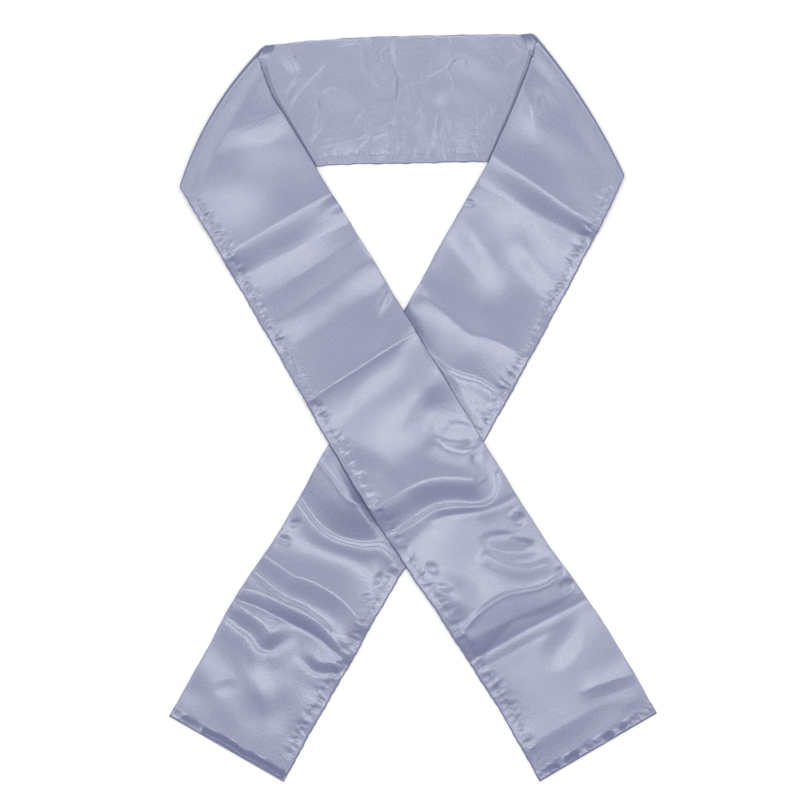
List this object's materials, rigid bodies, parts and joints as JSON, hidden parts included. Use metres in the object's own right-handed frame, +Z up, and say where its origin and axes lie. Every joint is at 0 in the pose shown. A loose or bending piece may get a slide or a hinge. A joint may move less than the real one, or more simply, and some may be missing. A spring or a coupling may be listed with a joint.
{
  "type": "scarf",
  "caption": "Long satin scarf laid flat: neck band with folded corners, legs crossed in front, left over right.",
  "frame": {"origin": "centre of the bounding box in plan, on the table under the cloth", "axes": "+Y from the two hemmed ends towards the neck band, +X to the right in the picture, +Z up off the table"},
  "size_m": [0.488, 0.7478, 0.0149],
  "materials": {
    "satin": "lavender grey satin weave",
    "hem_satin": "turned and topstitched satin"
  },
  "bodies": {
    "root": {"neck_band": "satin", "left_leg": "satin", "right_leg": "satin", "left_end_hem": "hem_satin", "right_end_hem": "hem_satin"}
  },
  "joints": []
}
